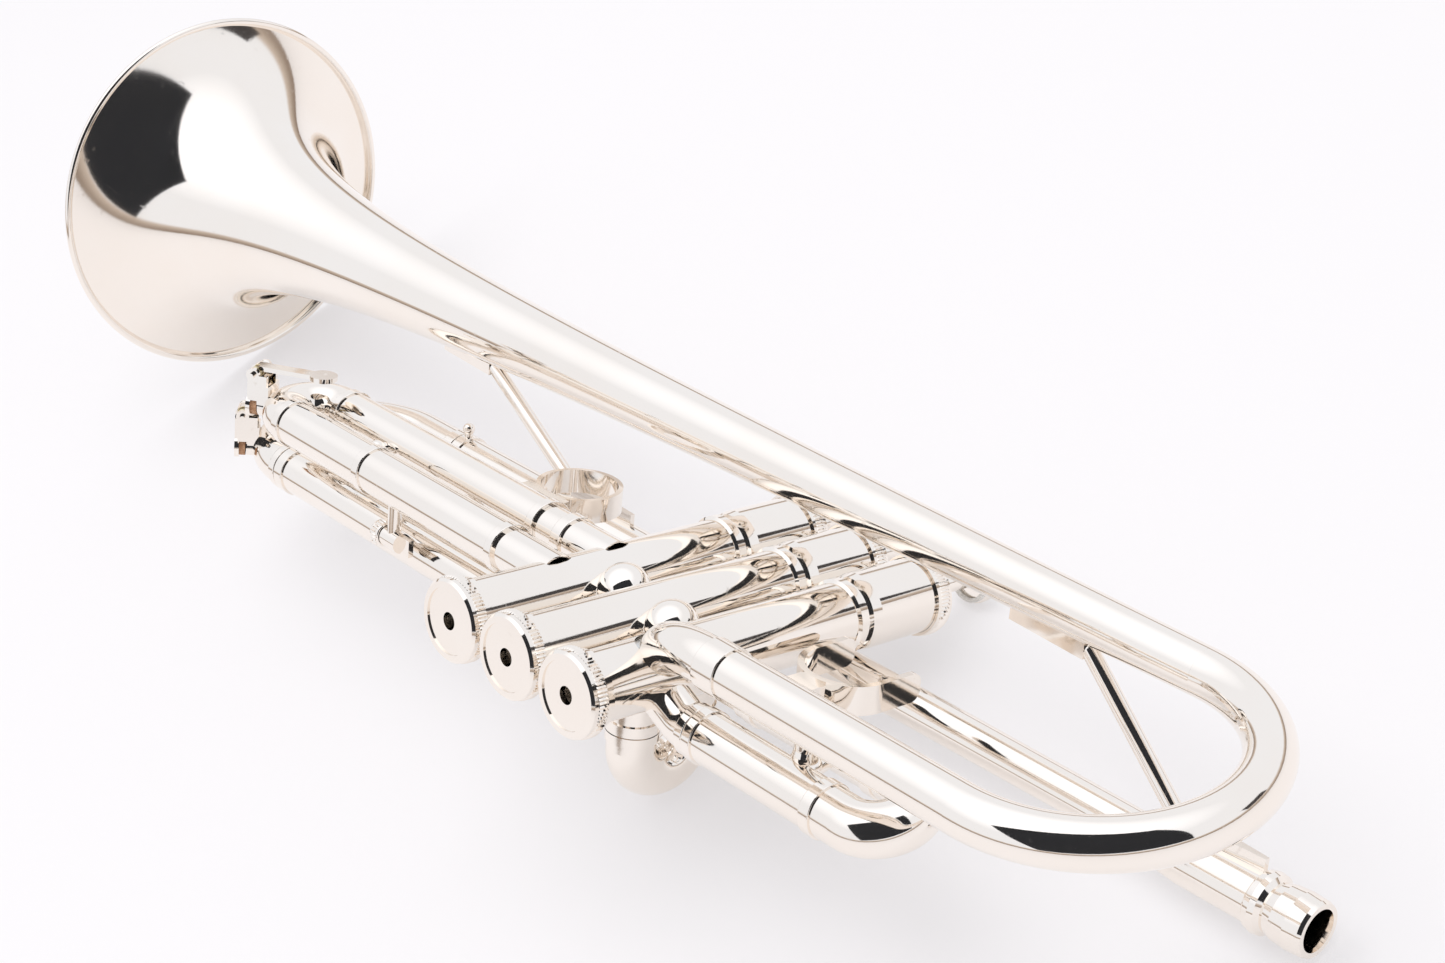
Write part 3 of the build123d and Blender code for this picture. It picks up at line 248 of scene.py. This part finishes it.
def use_group(tree, group, **values):
    """Places a shared group and sets its inputs."""
    node = tree.nodes.new("ShaderNodeGroup")
    node.node_tree = group
    for key, value in values.items():
        node.inputs[key.replace("_", " ")].default_value = value
    return node.outputs


def colour_between(tree, mask, first, second):
    """Colour ramp between two colours by a mask."""
    ramp = add(tree, "ShaderNodeValToRGB")
    ramp.color_ramp.elements[0].color = (*first, 1)
    ramp.color_ramp.elements[1].color = (*second, 1)
    tree.links.new(mask, ramp.inputs["Fac"])
    return ramp.outputs["Color"]


def raised(tree, shader, height, depth):
    """Bump of a height map, its depth in metres."""
    bump = add(tree, "ShaderNodeBump", in_Strength=1.0, in_Distance=depth)
    tree.links.new(height, bump.inputs["Height"])
    tree.links.new(bump.outputs["Normal"], shader.inputs["Normal"])


def polished_metal(name, pale, warm, smooth, worn, line_depth, cloud_scale=18.0):
    """Polished plate: slow tone drift, wipe clouds in its gloss, faint polishing lines."""
    material, tree, shader = base_material(name)
    shader.inputs["Metallic"].default_value = 1.0
    marks = use_group(tree, MARKS, Cloud_Scale=cloud_scale)
    tree.links.new(colour_between(tree, marks["Cloud"], pale, warm), shader.inputs["Base Color"])
    gloss = fitted(tree, marks["Cloud"], 0.0, 1.0, smooth, worn)
    speck = maths(tree, "MULTIPLY", marks["Specks"], 0.10)
    tree.links.new(maths(tree, "ADD", gloss, speck), shader.inputs["Roughness"])
    raised(tree, shader, marks["Lines"], line_depth)
    return material


def fibre_material(name, light, dark, rough, depth, scale):
    """Soft matt material with fibre mottling."""
    material, tree, shader = base_material(name)
    shader.inputs["Roughness"].default_value = rough
    shader.inputs["Specular IOR Level"].default_value = 0.25
    fibre = use_group(tree, FIBRE, Grain_Scale=scale)
    tree.links.new(colour_between(tree, fibre["Mottle"], dark, light), shader.inputs["Base Color"])
    raised(tree, shader, fibre["Height"], depth)
    return material


def pearl_material():
    """Mother of pearl: wavy bands of rose and green over milky white, under a clear coat."""
    material, tree, shader = base_material("mother_of_pearl")
    shader.inputs["Roughness"].default_value = 0.18
    shader.inputs["Coat Weight"].default_value = 0.6
    shader.inputs["Coat Roughness"].default_value = 0.05
    where = add(tree, "ShaderNodeTexCoord").outputs["Object"]
    bands = add(tree, "ShaderNodeTexWave", in_Scale=120.0, in_Distortion=9.0, in_Detail=3.0)
    tree.links.new(where, bands.inputs["Vector"])
    ramp = add(tree, "ShaderNodeValToRGB")
    ramp.color_ramp.elements[0].color = (0.86, 0.80, 0.78, 1)
    ramp.color_ramp.elements[1].color = (0.93, 0.91, 0.88, 1)
    ramp.color_ramp.elements.new(0.35).color = (0.90, 0.87, 0.83, 1)
    ramp.color_ramp.elements.new(0.65).color = (0.80, 0.86, 0.82, 1)
    tree.links.new(bands.outputs["Fac"], ramp.inputs["Fac"])
    tree.links.new(ramp.outputs["Color"], shader.inputs["Base Color"])
    return material


SILVER = polished_metal(
    "silver_plate", (0.950, 0.893, 0.830), (0.938, 0.868, 0.792), 0.045, 0.10, 0.000002)
BRASS = polished_metal(
    "turned_brass", (0.80, 0.64, 0.36), (0.74, 0.56, 0.30), 0.18, 0.28, 0.00001)
STEEL = polished_metal(
    "spring_wire", (0.78, 0.68, 0.46), (0.66, 0.56, 0.36), 0.16, 0.26, 0.000004, 60.0)
PISTON = polished_metal(
    "ground_piston", (0.80, 0.80, 0.79), (0.74, 0.74, 0.72), 0.20, 0.30, 0.00001)
CORK = fibre_material(
    "natural_cork", (0.60, 0.36, 0.22), (0.34, 0.17, 0.09), 0.9, 0.0002, 700.0)
FELT = fibre_material(
    "white_felt", (0.90, 0.89, 0.86), (0.78, 0.76, 0.72), 1.0, 0.0002, 1200.0)
PEARL = pearl_material()

SLOT_FINISH = {
    "silver_plate": SILVER,
    "cork": CORK,
    "spring_steel": STEEL,
    "piston_metal": PISTON,
    "guide_brass": BRASS,
}


def dress_cad_nodes():
    """Every CAD node takes the finish of its slot."""
    for part in frame["record"]["subparts"]:
        node = NODES[part["node"]]
        node.data.materials.clear()
        node.data.materials.append(SLOT_FINISH[part["material_slot"]])


# ---------- making pieces ----------
def axis_turn(direction):
    """Rotation that takes local Z to a direction of the instrument's frame."""
    return Vector(direction).normalized().to_track_quat("Z", "Y").to_matrix().to_4x4()


def make_piece(name, bm, where, body, finish):
    """Turns a bmesh in local millimetres into a piece at its place, riding on a body."""
    bmesh.ops.remove_doubles(bm, verts=bm.verts, dist=WELD)
    bmesh.ops.recalc_face_normals(bm, faces=bm.faces)
    bmesh.ops.transform(bm, matrix=PLACE @ where, verts=bm.verts)
    for face in bm.faces:
        face.smooth = True
    mesh = bpy.data.meshes.new(name)
    bm.to_mesh(mesh)
    bm.free()
    mesh.materials.append(finish)
    piece = bpy.data.objects.new(name, mesh)
    bpy.context.scene.collection.objects.link(piece)
    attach(piece, body)
    return piece


def sharpen(piece):
    """Hard edges where faces meet at a steep angle."""
    mesh = piece.data
    bm = bmesh.new()
    bm.from_mesh(mesh)
    for edge in bm.edges:
        if len(edge.link_faces) == 2 and edge.calc_face_angle(0.0) > math.radians(SHARP_DEG):
            edge.smooth = False
    bm.to_mesh(mesh)
    bm.free()


def turned(outline, steps, closed=False):
    """Bmesh of an outline of (radius, height) turned about local Z."""
    bm = bmesh.new()
    points = [bm.verts.new((radius, 0, height)) for radius, height in outline]
    edges = [bm.edges.new(pair) for pair in zip(points, points[1:])]
    if closed:
        edges.append(bm.edges.new((points[-1], points[0])))
    bmesh.ops.spin(bm, geom=points + edges, cent=(0, 0, 0), axis=(0, 0, 1), angle=math.tau,
                   steps=steps, use_merge=True)
    return bm


def bell_radius(x, rim_x, rim_r):
    """Radius of the bell's skin at a station of its axis."""
    return rim_r * ((rim_x - x + BELL_POLE) / BELL_POLE) ** -BELL_POWER


def make_bell():
    """One spun sheet from the bow's ferrule to a rolled rim, for the two CAD lengths and the rim wire."""
    low, high = extent("bell_rim_bead")
    stem_low, _ = extent("bell_stem")
    rim_x = high.x
    bead_r = (high.y - low.y) / 2 - RIM_WIRE_R
    skin_r = bead_r + RIM_WIRE_R / 2
    start = stem_low.x
    reach = rim_x - RIM_SEAM - start
    outer = []
    inner = []
    for k in range(BELL_STATIONS + 1):
        x = start + reach * (1 - (1 - k / BELL_STATIONS) ** BELL_CROWDING)
        r = bell_radius(x, rim_x, skin_r)
        slope = BELL_POWER * r / (rim_x - x + BELL_POLE)
        lean = math.hypot(1, slope)
        outer.append((r, x - start))
        inner.append((r - BELL_WALL / lean, x - start + BELL_WALL * slope / lean))
    wire_x = rim_x - start - RIM_WIRE_R
    turns = [math.radians(degrees) for degrees in RIM_ROLL_DEG]
    roll = [(bead_r + RIM_WIRE_R * math.cos(a), wire_x + RIM_WIRE_R * math.sin(a)) for a in turns]
    outline = outer + roll + inner[::-1]
    middle = (low + high) / 2
    where = Matrix.Translation((start, middle.y, middle.z)) @ axis_turn((1, 0, 0))
    bell = make_piece("bell", turned(outline, BELL_STEPS, closed=True), where, "horn", SILVER)
    sharpen(bell)
    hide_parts("bell_flare", "bell_stem", "bell_rim_bead")


def pulled_out(bm, edges):
    """Extrudes a loop of edges; gives the new vertices and the new loop."""
    made = bmesh.ops.extrude_edge_only(bm, edges=edges)["geom"]
    verts = [g for g in made if isinstance(g, bmesh.types.BMVert)]
    return verts, [g for g in made if isinstance(g, bmesh.types.BMEdge)]


def toothed_ring(inner_r, outer_r, height, teeth):
    """Knurled band standing on Z = 0: straight teeth with eased ends."""
    root_r = outer_r - TOOTH_DEPTH
    ease = TOOTH_DEPTH
    bm = bmesh.new()
    loop = bmesh.ops.create_circle(bm, segments=teeth * 2, radius=root_r)["verts"]
    first = list({e for v in loop for e in v.link_edges})
    edges = first
    for rise, toothed in ((ease, True), (height - 2 * ease, True), (ease, False)):
        verts, edges = pulled_out(bm, edges)
        bmesh.ops.translate(bm, verts=verts, vec=(0, 0, rise))
        ordered = sorted(verts, key=lambda v: math.atan2(v.co.y, v.co.x))
        for k, v in enumerate(ordered):
            v.co.xy = v.co.xy.normalized() * (outer_r if toothed and k % 2 else root_r)
    verts, edges = pulled_out(bm, edges)
    for v in verts:
        v.co.xy = v.co.xy.normalized() * inner_r
    verts, edges = pulled_out(bm, edges)
    bmesh.ops.translate(bm, verts=verts, vec=(0, 0, -height))
    bmesh.ops.bridge_loops(bm, edges=edges + first)
    return bm


def make_cap_knurls(valve):
    """Knurled grips round the bottom and the top cap of a valve."""
    low, high = extent(f"bottom_cap_{valve}")
    middle = (low + high) / 2
    radius = (high.x - low.x) / 2
    top_low, _ = extent(f"top_cap_{valve}")
    for cap, foot, height in (("bottom", low.z + BOTTOM_KNURL_UP, BOTTOM_KNURL_H),
                              ("top", top_low.z + TOP_KNURL_UP, TOP_KNURL_H)):
        where = Matrix.Translation((middle.x, middle.y, foot))
        bm = toothed_ring(radius - KNURL_SINK, radius + KNURL_PROUD, height, CAP_TEETH)
        sharpen(make_piece(f"{cap}_cap_knurl_{valve}", bm, where, "horn", SILVER))


def make_knuckle(name):
    """Ball-shaped crossing between two casings, in place of the plain CAD tube."""
    low, high = extent(name)
    middle = (low + high) / 2
    bm = bmesh.new()
    bmesh.ops.create_uvsphere(bm, u_segments=64, v_segments=32, radius=KNUCKLE_R)
    ball = make_piece(name + "_ball", bm, Matrix.Translation(middle), "horn", SILVER)
    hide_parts(name)


def make_screw_grip():
    """Knurled band round the stop screw's head."""
    low, high = extent("thumb_screw")
    radius = (high.y - low.y) / 2
    middle = (low + high) / 2
    foot = Matrix.Translation((high.x - SCREW_KNURL_BACK, middle.y, middle.z))
    where = foot @ axis_turn((1, 0, 0))
    bm = toothed_ring(radius - SCREW_SINK, radius + SCREW_PROUD, SCREW_KNURL_H, SCREW_TEETH)
    sharpen(make_piece("thumb_screw_grip", bm, where, "stop_screw", SILVER))


def make_button_trim(valve):
    """Pearl set in the finger button's dish, and the felt under the button."""
    low, high = extent(f"finger_button_{valve}")
    middle = (low + high) / 2
    crown = [(PEARL_R * math.cos(a) * PEARL_CROWN,
              PEARL_SHOULDER + (PEARL_RISE - PEARL_SHOULDER) * math.sin(a))
             for a in (math.radians(degrees) for degrees in range(15, 90, 15))]
    disc = PEARL_EDGE + crown + [(0, PEARL_RISE)]
    body = f"valve_{valve}"
    where = Matrix.Translation((middle.x, middle.y, high.z - PEARL_SEAT))
    make_piece(f"button_pearl_{valve}", turned(disc, 64), where, body, PEARL)
    ring = [(FELT_IN_R, 0), (FELT_R - FELT_EASE, 0), (FELT_R, -FELT_EASE),
            (FELT_R, FELT_EASE - FELT_H), (FELT_R - FELT_EASE, -FELT_H), (FELT_IN_R, -FELT_H)]
    where = Matrix.Translation((middle.x, middle.y, high.z - FELT_UNDER))
    make_piece(f"button_felt_{valve}", turned(ring, 48, closed=True), where, body, FELT)


def coil_spring(radius, wire, height, turns):
    """Bmesh of a coil standing on Z = 0."""
    bm = bmesh.new()
    section = bmesh.ops.create_circle(bm, segments=WIRE_SIDES, radius=wire)["verts"]
    upright = Matrix.Rotation(math.pi / 2, 3, "X")
    bmesh.ops.rotate(bm, verts=section, cent=(0, 0, 0), matrix=upright)
    bmesh.ops.translate(bm, verts=section, vec=(radius, 0, wire))
    edges = list({e for v in section for e in v.link_edges})
    steps = turns * SPRING_STEPS
    rise = (0, 0, (height - 2 * wire) / steps)
    bmesh.ops.spin(bm, geom=section + edges, cent=(0, 0, 0), axis=(0, 0, 1), dvec=rise,
                   angle=math.tau * turns, steps=steps)
    ends = [e for e in bm.edges if len(e.link_faces) == 1]
    bmesh.ops.holes_fill(bm, edges=ends, sides=0)
    return bm


def make_valve_spring(valve):
    """Coil under a piston, in place of the CAD spring; it keeps its length when the valve is pressed."""
    low, high = extent(f"valve_spring_{valve}")
    middle = (low + high) / 2
    height = high.z - low.z
    where = Matrix.Translation((middle.x, middle.y, low.z))
    radius = (high.x - low.x) / 2 - SPRING_WIRE
    bm = coil_spring(radius, SPRING_WIRE, height, SPRING_TURNS)
    spring = make_piece(f"valve_coil_{valve}", bm, where, "horn", STEEL)
    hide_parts(f"valve_spring_{valve}")
    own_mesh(spring)


# ---------- studio ----------
def toward(place, aim):
    """Matrix at a place whose -Z looks at a point."""
    place = Vector(place)
    look = (Vector(aim) - place).to_track_quat("-Z", "Y").to_matrix().to_4x4()
    return Matrix.Translation(place) @ look


def studio_camera():
    """Camera behind the bow and above it, looking down the instrument toward the bell."""
    data = bpy.data.cameras.new("camera")
    data.lens = CAMERA_LENS
    data.sensor_width = 36.0
    data.clip_end = 20
    camera = bpy.data.objects.new("camera", data)
    bpy.context.scene.collection.objects.link(camera)
    roll = Matrix.Rotation(math.radians(CAMERA_ROLL_DEG), 4, "Z")
    camera.matrix_world = toward(CAMERA_PLACE, CAMERA_AIM) @ roll
    bpy.context.scene.camera = camera


def flat_sheet(name, width, depth, place):
    """Flat studio sheet."""
    bm = bmesh.new()
    bmesh.ops.create_grid(bm, x_segments=1, y_segments=1, size=0.5)
    bmesh.ops.scale(bm, verts=bm.verts, vec=(width, depth, 1))
    bmesh.ops.transform(bm, matrix=place, verts=bm.verts)
    mesh = bpy.data.meshes.new(name)
    bm.to_mesh(mesh)
    bm.free()
    sheet = bpy.data.objects.new(name, mesh)
    bpy.context.scene.collection.objects.link(sheet)
    return sheet


def studio_floor():
    """Backlit white board: half its light is its own, so that shadows on it stay pale."""
    material, tree, shader = base_material("white_board")
    shader.inputs["Base Color"].default_value = (*FLOOR_TONE, 1)
    shader.inputs["Roughness"].default_value = 0.7
    glow = add(tree, "ShaderNodeEmission", in_Color=(*FLOOR_LIGHT, 1), in_Strength=1.0)
    blend = add(tree, "ShaderNodeMixShader")
    blend.inputs["Fac"].default_value = FLOOR_GLOW
    tree.links.new(shader.outputs["BSDF"], blend.inputs[1])
    tree.links.new(glow.outputs["Emission"], blend.inputs[2])
    tree.links.new(blend.outputs["Shader"], tree.nodes["Material Output"].inputs["Surface"])
    sheet = flat_sheet("floor", FLOOR_SIDE, FLOOR_SIDE, Matrix.Identity(4))
    sheet.data.materials.append(material)


def dark_card(name, place, aim, width, depth, tone):
    """Dark card that only shows in the plate's reflections."""
    material, _, shader = base_material(name + "_card")
    shader.inputs["Base Color"].default_value = (*tone, 1)
    shader.inputs["Roughness"].default_value = 0.9
    card = flat_sheet(name, width, depth, toward(place, aim))
    card.data.materials.append(material)
    card.visible_camera = False
    card.visible_diffuse = False
    card.visible_shadow = False
    card.visible_transmission = False


def area_lamp(name, place, aim, size, power):
    """Square soft lamp, unseen in reflections."""
    data = bpy.data.lights.new(name, "AREA")
    data.shape = "SQUARE"
    data.size = size
    data.energy = power
    lamp = bpy.data.objects.new(name, data)
    bpy.context.scene.collection.objects.link(lamp)
    lamp.matrix_world = toward(place, aim)
    lamp.visible_glossy = False


def studio_world():
    """White tent: a tan strip at its foot and a soft glow at its top show in reflections."""
    world = bpy.data.worlds.new("studio")
    bpy.context.scene.world = world
    world.use_nodes = True
    tree = world.node_tree
    background = tree.nodes["Background"]
    split = add(tree, "ShaderNodeSeparateXYZ")
    tree.links.new(add(tree, "ShaderNodeTexCoord").outputs["Generated"], split.inputs["Vector"])
    height = split.outputs["Z"]
    tent = add(tree, "ShaderNodeValToRGB")
    tent.color_ramp.elements[0].color = (*TENT_FOOT, 1)
    tent.color_ramp.elements[1].color = (*TENT_WALL, 1)
    for position, tone in TENT_STRIPE:
        tent.color_ramp.elements.new(position).color = (*tone, 1)
    tree.links.new(height, tent.inputs["Fac"])
    path = add(tree, "ShaderNodeLightPath")
    glossy = path.outputs["Is Glossy Ray"]
    colour = add(tree, "ShaderNodeMix", data_type="RGBA")
    share, plain, striped = (colour.inputs[k] for k in (0, 6, 7))
    plain.default_value = (*TENT_PLAIN, 1)
    tree.links.new(glossy, share)
    tree.links.new(tent.outputs["Color"], striped)
    tree.links.new(colour.outputs[2], background.inputs["Color"])
    seen = maths(tree, "MAXIMUM", path.outputs["Is Camera Ray"], glossy)
    even = fitted(tree, seen, 0.0, 1.0, TENT_FILL, TENT_SEEN)
    glow = maths(tree, "MULTIPLY", fitted(tree, height, GLOW_FROM, 1.0, 0.0, TENT_GLOW), glossy)
    tree.links.new(maths(tree, "ADD", even, glow), background.inputs["Strength"])


# ---------- everything ----------
dress_cad_nodes()
make_bell()
for valve in VALVES:
    make_cap_knurls(valve)
    make_button_trim(valve)
    make_valve_spring(valve)

make_knuckle("cross_knuckle_12")
make_knuckle("cross_knuckle_23")
make_screw_grip()

studio_camera()
studio_floor()
dark_card("camera_side", (-0.92, 0.56, 0.98), (0.18, -0.02, 0.06), 2.45, 1.8,
          (0.012, 0.014, 0.018))
dark_card("window_side", (-1.10, -1.25, 0.30), (0.0, 0.0, 0.05), 0.50, 0.20,
          (0.05, 0.045, 0.045))
area_lamp("overhead", (0.15, 0.1, 1.5), (0.0, 0.0, 0.05), 1.5, 12)
studio_world()
bpy.context.scene.view_settings.view_transform = "Standard"
